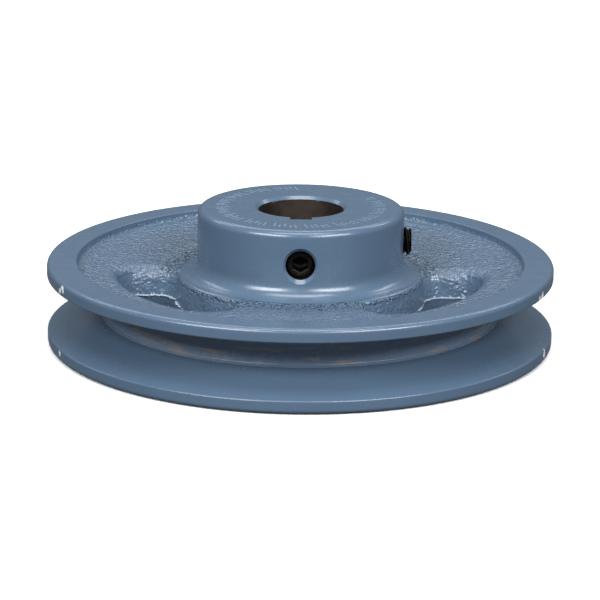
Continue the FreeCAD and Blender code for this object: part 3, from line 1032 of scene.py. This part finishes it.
@dataclass
class Hub:
    """The turned hub: bore, keyseat, stamped ring, root fillet, ledge and cross holes."""

    radius: float
    length: float
    bore: float
    key_half: float = 4.7625 / 2
    key_top: float = 11.73
    chamfer: float = 0.65
    corner: float = 1.6
    root: float = 3.5
    ledge: float = 26.8
    ledge_height: float = 15.256
    boss_low: float = 25.0
    boss_high: float = 26.0
    wall_low: float = 27.9
    columns: int = 576
    screw_height: float = 22.55
    hole: float = 3.225
    rough: float = 0.05
    key_swing: float = 15.0
    mark_inner: float = 15.7
    mark_outer: float = 19.1
    mark_depth: float = 0.06
    mark_half: float = 0.24
    mark_pitch: float = 3.75
    mark_lean: float = 0.2
    unmarked: tuple[float, float] = (33.0, 92.0)
    mouth_depth: float = 0.75
    countersink: float = 2.25
    thread_pitch: float = 1.27
    thread_depth: float = 0.22

    def bore_outline(self, radius: float) -> np.ndarray:
        """Give the bore with its keyseat at a bore radius, in plan.

        Columns within the key's swing of -Y run up one side of the keyseat, over its top and
        down the other side; the rest are spread along the bore's arc.

        Args:
            radius: The bore's radius at this height.

        Returns:
            One plan point for each column.
        """
        swing = np.linspace(0, 2 * np.pi, self.columns, endpoint=False)
        swing = np.where(swing > np.pi, swing - 2 * np.pi, swing)
        limit = math.radians(self.key_swing)
        gate = math.asin(self.key_half / radius)
        arc = np.sign(swing) * (gate + (np.abs(swing) - limit) * (np.pi - gate) / (np.pi - limit))
        share = np.clip(swing / limit, -1, 1)
        across = np.clip(share * 2, -1, 1) * self.key_half
        mouth = math.sqrt(radius ** 2 - self.key_half ** 2)
        rise = np.clip(np.abs(share) * 2 - 1, 0, 1)
        key = np.stack([across, -(self.key_top + (mouth - self.key_top) * rise)], axis=-1)
        round_part = np.stack([radius * np.sin(arc), -radius * np.cos(arc)], axis=-1)
        return np.where((np.abs(swing) <= limit + 1e-9)[:, None], key, round_part)

    def marks(self, grid: np.ndarray) -> np.ndarray:
        """Give the depth of the stamped ring of plain strokes.

        Strokes stand in groups of five with a gap after each. They lean a little and are of mixed
        lengths, like a rubbed scale, and one stretch of the ring has none.

        Args:
            grid: Points of the hub's end face.

        Returns:
            The depth at each point, from 0 to 1.
        """
        radius = np.hypot(grid[..., 0], grid[..., 1])
        azimuth = np.degrees(np.arctan2(grid[..., 1], grid[..., 0])) % 360
        number = np.round(azimuth / self.mark_pitch).astype(int)
        place = number % 6
        short = np.array([0.0, 0.0, 1.0, 0.3, 1.3, 0.6])[place]
        late = np.array([0.0, 0.2, 0.0, 0.5, 0.0, 0.1])[place]
        rise = radius - (self.mark_inner + self.mark_outer) / 2
        off = np.radians(azimuth - number * self.mark_pitch) * radius - self.mark_lean * rise
        across = np.clip(1 - np.abs(off) / self.mark_half, 0, 1)
        ends = np.minimum(radius - self.mark_inner - short, self.mark_outer - late - radius)
        along = np.clip(ends / 0.2, 0, 1)
        shown = (place != 0) & ~((azimuth > self.unmarked[0]) & (azimuth < self.unmarked[1]))
        return np.where(shown, across * along, 0)

    def build(self, noise: SmoothNoise, finishes: tuple[bpy.types.Material, ...]
              ) -> bpy.types.Object:
        """Make the hub.

        Args:
            noise: The casting's skin.
            finishes: The two enamels, the bare iron and the lighter enamel of the stamped strokes, a
                painted highlight.

        Returns:
            The hub as one closed piece, with its two cross holes cut.
        """
        outer = rounded_path([
            (self.mark_outer + 0.5, self.length, 0),
            (self.radius, self.length, self.corner),
            (self.radius, self.ledge_height, self.root),
            (self.ledge + 0.45, self.ledge_height, 1.25),
            (self.wall_low, 9.2, 0),
            (self.wall_low, 7.6, 0),
            (self.boss_high, 6.3, 0.8),
            (self.boss_low, 0, 0.5),
            (self.bore + self.chamfer + 2.2, 0, 0),
        ], 0.8, closed=False)
        top_rows = np.array([[radius, self.length] for radius in
                             np.arange(self.mark_inner - 0.4, self.mark_outer + 0.4, 0.17)])
        turned = revolve(np.concatenate([top_rows, outer]), self.columns)
        stamped = self.marks(turned[:len(top_rows)])
        turned[:len(top_rows), :, 2] -= self.mark_depth * stamped
        radius = np.hypot(turned[..., 0], turned[..., 1])
        cast = (turned[..., 2] < self.ledge_height - 0.35) & (turned[..., 2] > 0.6) & (
            radius > self.boss_low - 0.2)
        push = np.where(cast, self.rough, 0) * cast_skin(turned, noise) / radius
        turned[..., :2] += push[..., None] * turned[..., :2]

        def ring(radius: float, height: float) -> np.ndarray:
            """Give one ring of the bore at a height."""
            flat = self.bore_outline(radius)
            return np.concatenate([flat, np.full((len(flat), 1), height)], axis=1)

        wide = self.bore + self.chamfer
        heights = np.concatenate([np.linspace(self.chamfer, 27.5, 7),
                                  np.linspace(28.2, self.length - self.chamfer, 12)])
        inner = [ring(wide, 0), *[ring(self.bore, float(height)) for height in heights],
                 ring(wide, self.length)]
        lips = [inner[-1] + (turned[0] - inner[-1]) * part for part in (0.08, 0.3, 0.6)]
        grid = np.concatenate([turned, np.stack(inner + lips)])
        paint = self._bare(grid, len(turned), len(heights), noise)
        paint[:len(turned)] = np.where(cast, Skin.CAST.value, paint[:len(turned)])
        # The strokes take a lighter enamel: a painted highlight where their edges catch the light.
        wear_and_highlight = (stamped + np.roll(stamped, -1, axis=1)) > 0.7
        paint[:len(stamped)] = np.where(wear_and_highlight, FOURTH_FINISH, paint[:len(stamped)])
        shell = Shell()
        shell.add(grid, wrap_rows=True, wrap_columns=True, paint=paint)
        hub = shell.build("pulley_hub", finishes)
        self._drill(hub)
        return hub

    def _bare(self, grid: np.ndarray, first: int, count: int, noise: SmoothNoise) -> np.ndarray:
        """Choose the bare faces: the bore and keyseat, up to the paint's ragged edge.

        Args:
            grid: All points of the hub.
            first: Row where the bore starts.
            count: Rows of the bore between its chamfers.
            noise: Noise for the paint's edge.

        Returns:
            The material index of each face.
        """
        rows = np.arange(len(grid))[:, None]
        inside = (rows >= first + 1) & (rows <= first + count - 1)
        creep = np.clip(1.5 * noise(grid + 5.0, 2.6) + 0.7 * noise(grid, 0.7) - 0.25, 0, 1)
        edge = self.length - self.chamfer - 1.1 * creep
        return np.where(inside & (grid[..., 2] < edge - 0.02), THIRD_FINISH, Skin.TURNED.value)

    def _drill(self, hub: bpy.types.Object) -> None:
        """Cut the two tapped holes: a countersunk bore with fine thread rings, turned about Z.

        Args:
            hub: The hub to cut, whose mesh is replaced by the result.
        """
        start = self.bore - 3.0
        mouth = self.radius - self.mouth_depth
        rings = np.arange(mouth - 0.4, self.bore - 1.0, -self.thread_pitch / 2)
        teeth = [(self.hole + (self.thread_depth if index % 2 else 0.0), float(height))
                 for index, height in enumerate(rings)]
        top = mouth + self.countersink
        path = np.array([(0, start), (self.hole, start), *teeth[::-1], (self.hole, mouth),
                         (self.hole + self.countersink, top), (0, top)])
        walls = np.where(np.arange(len(path) - 1) < len(teeth) + 1, THIRD_FINISH, 0)[:, None]
        for name, outward in (("front", (0, -1, 0)), ("side", (1, 0, 0))):
            shell = Shell()
            shell.add(revolve(path, 96), wrap_columns=True, paint=walls)
            tool = shell.build(f"drill_{name}", tuple(hub.data.materials))
            stand_out(tool.data, outward, 0.0, self.screw_height)
            cut = hub.modifiers.new(f"{name}_hole", "BOOLEAN")
            cut.operation = "DIFFERENCE"
            cut.solver = "EXACT"
            cut.object = tool
            graph = bpy.context.evaluated_depsgraph_get()
            result = bpy.data.meshes.new_from_object(hub.evaluated_get(graph))
            hub.modifiers.clear()
            old = hub.data
            hub.data = result
            bpy.data.meshes.remove(old)
            bpy.data.objects.remove(tool)
        hub.data.name = "pulley_hub"
        hub.data.shade_smooth()
        hub.data.set_sharp_from_angle(angle=math.radians(32))


@dataclass
class SetScrew:
    """A 1/4-20 socket set screw with a cup point, turned so that its socket faces outward.

    Its face is the distance from the pulley's axis to the socket's end of the screw.
    """

    name: str
    node: str
    body: str
    outward: tuple[float, float, float]
    face: float
    height: float = 22.55
    radius: float = 3.175
    length: float = 9.525
    pitch: float = 1.27
    thread_depth: float = 0.72
    socket_flats: float = 3.175
    socket_depth: float = 3.6
    end_chamfer: float = 0.5
    point_chamfer: float = 0.9
    cup_radius: float = 1.7
    cup_depth: float = 1.0
    columns: int = 144
    rows: int = 118

    def build(self, finish: bpy.types.Material) -> bpy.types.Object:
        """Make the screw.

        The thread is a flattened triangle wave of the height less the azimuth's share of a pitch,
        cut down by the cones at both ends. The socket's radius is half its width across flats over
        the cosine of the angle from the nearest flat's middle. The rings run from the cup's
        bottom, over the thread, to the socket's bottom.

        Args:
            finish: The screw's material.

        Returns:
            The screw as one closed piece.
        """
        azimuth = np.linspace(0, 2 * np.pi, self.columns, endpoint=False)
        height = np.linspace(0, self.length, self.rows)[:, None]
        wave = np.abs(((height / self.pitch - azimuth / (2 * np.pi)) % 1.0) * 2 - 1)
        crest = np.clip((wave - 0.14) / 0.72, 0, 1)
        thread = self.radius - self.thread_depth * (1 - crest)
        point_cone = self.radius - self.point_chamfer + height
        end_cone = self.radius - self.end_chamfer + (self.length - height)
        shank = np.minimum(thread, np.minimum(point_cone, end_cone))
        flats = np.radians(60)
        nearest = (azimuth + flats / 2) % flats - flats / 2
        hexagon = self.socket_flats / 2 / np.cos(nearest)
        none = np.zeros(self.columns)
        top, floor = self.length, self.length - self.socket_depth
        # A cupped point; then a worn lip, the six flats and the cone that the drill left.
        cup = ((none, self.cup_depth), (none + self.cup_radius * 0.5, self.cup_depth / 2),
               (none + self.cup_radius, 0.0))
        socket = ((hexagon + 0.22, top), (hexagon + 0.04, top - 0.12), (hexagon, top - 0.3),
                  (hexagon, floor), (0.55 * hexagon, floor - 0.35), (none, floor - 0.75))
        before, after = ([around(reach, azimuth, level)[None] for reach, level in rings]
                         for rings in (cup, socket))
        shell = Shell()
        shell.add(np.concatenate([*before, around(shank, azimuth, height), *after]),
                  wrap_columns=True)
        screw = shell.build(self.name, (finish,), sharp=38)
        stand_out(screw.data, self.outward, self.face - self.length, self.height)
        return screw

    def dress(self, finish: bpy.types.Material) -> None:
        """Make the screw, paint it, hide its node and tie it to its body."""
        screw = self.build(finish)
        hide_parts(self.node)
        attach(screw, self.body)


@dataclass
class Casting:
    """The one-piece casting, modelled as rim, web and hub surfaces that overlap inside it.

    Pale highlights are painted at places on the flanges' edges, where a side light is reflected, each
    an azimuth and a height.
    """

    low: np.ndarray
    high: np.ndarray
    hub_radius: float = 23.02
    bore: float = 9.525
    # Places of the painted highlights on the flanges' edges.
    painted_glints: tuple[tuple[float, float], ...] = (
        (203.4, 16.3), (205.2, 17.1), (338.4, 16.2), (336.6, 15.6), (202.6, 2.1), (341.5, 2.0))

    def build(self) -> None:
        """Make the three surfaces, paint them and tie them to the pulley."""
        radius = float(min(*-self.low[:2], *self.high[:2])) / MM
        noise = SmoothNoise(41)
        enamels = (Enamel(Skin.TURNED, painted_glints=self.painted_glints).build(), Enamel(Skin.CAST).build())
        # The strokes' lighter enamel is a painted highlight.
        stamped = Enamel(Skin.TURNED, "#6B8297", "#5F758A", name="stamped").build()
        # The fin's much lighter enamel is a painted highlight.
        fin_highlight = Enamel(Skin.CAST, "#A3AFB8", "#6C8092", name="fin_highlight").build()
        # The groove floor's grey-brown streaks are a painted reflection.
        groove_reflection = Enamel(Skin.TURNED, "#687B92", "#8A8683", name="groove_reflection", groove_reflection=True).build()
        hub = Hub(radius=self.hub_radius, length=float(self.high[2]) / MM, bore=self.bore)
        pieces = (
            Rim(radius=radius, width=FACE_WIDTH, groove=Groove()).build(noise, (*enamels, groove_reflection)),
            Web().build(noise, (*enamels, fin_highlight)),
            hub.build(noise, (*enamels, BoredIron().build(), stamped)),
        )
        for piece in pieces:
            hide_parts("pulley_casting")
            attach(piece, "pulley")


# ---------------------------------------------------------------- studio


@dataclass
class Studio:
    """A pale floor, soft boxes in front, above and behind, and the camera."""

    lens: float = 162.3
    distance: float = 605.05
    elevation: float = 14.95
    rim_top: float = FACE_WIDTH
    aim_drop: float = 9.69
    roll: float = 0.636
    floor_half: float = 3.0
    floor_gap: float = 0.0002

    def floor(self) -> None:
        """Lay a plain white floor that takes the shadow and sends no light back to the pulley."""
        mesh = bpy.data.meshes.new("floor")
        corners = [(across * self.floor_half, along * self.floor_half, -self.floor_gap)
                   for across, along in ((-1, -1), (1, -1), (1, 1), (-1, 1))]
        mesh.from_pydata(corners, [], [(0, 1, 2, 3)])
        floor = bpy.data.objects.new("floor", mesh)
        bpy.context.scene.collection.objects.link(floor)
        paper = Recipe("white_backdrop_paper")
        mesh.materials.append(paper.finish({"Base Color": srgb("#EAEAEA"), "Roughness": 0.9}))
        floor.visible_diffuse = False
        floor.visible_glossy = False

    def soft_box(self, name: str, place: tuple[float, float, float],
                 size: tuple[float, float], power: float) -> None:
        """Hang a soft box that faces the pulley.

        Args:
            name: The lamp's name.
            place: Its position in metres.
            size: Its width and height in metres.
            power: Its power in watts.
        """
        lamp = bpy.data.lights.new(name, "AREA")
        lamp.shape = "RECTANGLE"
        lamp.size, lamp.size_y = size
        lamp.energy = power
        box = bpy.data.objects.new(name, lamp)
        aim = Vector((0, 0, 0.02)) - Vector(place)
        box.matrix_world = (Matrix.Translation(place)
                            @ aim.to_track_quat("-Z", "Y").to_matrix().to_4x4())
        bpy.context.scene.collection.objects.link(box)

    def lights(self) -> None:
        """Light the set softly: a dim room, four boxes and two strips behind at the sides."""
        world = bpy.data.worlds.new("room")
        world.use_nodes = True
        world.node_tree.nodes.clear()
        back = add_node(world.node_tree, "ShaderNodeBackground",
                        {"Color": srgb("#C4C8CC"), "Strength": 0.27})
        add_node(world.node_tree, "ShaderNodeOutputWorld", Surface=back.outputs[0])
        bpy.context.scene.world = world
        self.soft_box("left_box", (-0.94, -1.24, 1.05), (1.2, 0.55), 40.0)
        self.soft_box("right_box", (0.94, -1.24, 1.05), (1.2, 0.55), 40.0)
        self.soft_box("back_box", (0.0, 1.30, 1.50), (1.5, 0.6), 11.0)
        self.soft_box("overhead_box", (0.0, -0.45, 1.7), (1.3, 0.5), 20.0)
        self.soft_box("left_strip", (-0.95, 0.82, 1.10), (0.25, 0.5), 2.6)
        self.soft_box("right_strip", (0.95, 0.82, 1.10), (0.25, 0.5), 2.6)

    def camera(self) -> None:
        """Set up a long lens that looks a little below the rim's upper face."""
        data = bpy.data.cameras.new("camera")
        data.lens = self.lens
        data.sensor_width = 36.0
        data.clip_start, data.clip_end = 0.05, 20.0
        camera = bpy.data.objects.new("camera", data)
        tilt = math.radians(self.elevation)
        place = Vector((0, -self.distance * math.cos(tilt),
                        self.rim_top + self.distance * math.sin(tilt))) * MM
        aim = Vector((0, 0, (self.rim_top - self.aim_drop) * MM))
        look = (aim - place).to_track_quat("-Z", "Y").to_matrix().to_4x4()
        roll = Matrix.Rotation(math.radians(self.roll), 4, "Z")
        camera.matrix_world = Matrix.Translation(place) @ look @ roll
        bpy.context.scene.collection.objects.link(camera)
        bpy.context.scene.camera = camera

    def build(self) -> None:
        """Set up the floor, the lights and the camera."""
        self.floor()
        self.lights()
        self.camera()
        bpy.context.scene.view_settings.view_transform = "Standard"


def main() -> None:
    """Build the studio and the pulley."""
    logging.basicConfig(level=logging.INFO, format="%(name)s: %(message)s")
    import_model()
    low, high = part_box("pulley_casting")
    Casting(np.array(low), np.array(high)).build()
    steel = BlackOxide().build()
    screws = (
        SetScrew("front_set_screw", "keyseat_set_screw", "keyseat_screw", (0, -1, 0), face=21.3),
        SetScrew("right_set_screw", "side_set_screw", "side_screw", (1, 0, 0), face=24.65),
    )
    for screw in screws:
        screw.dress(steel)
    Studio().build()


if __name__ == "__main__":
    main()
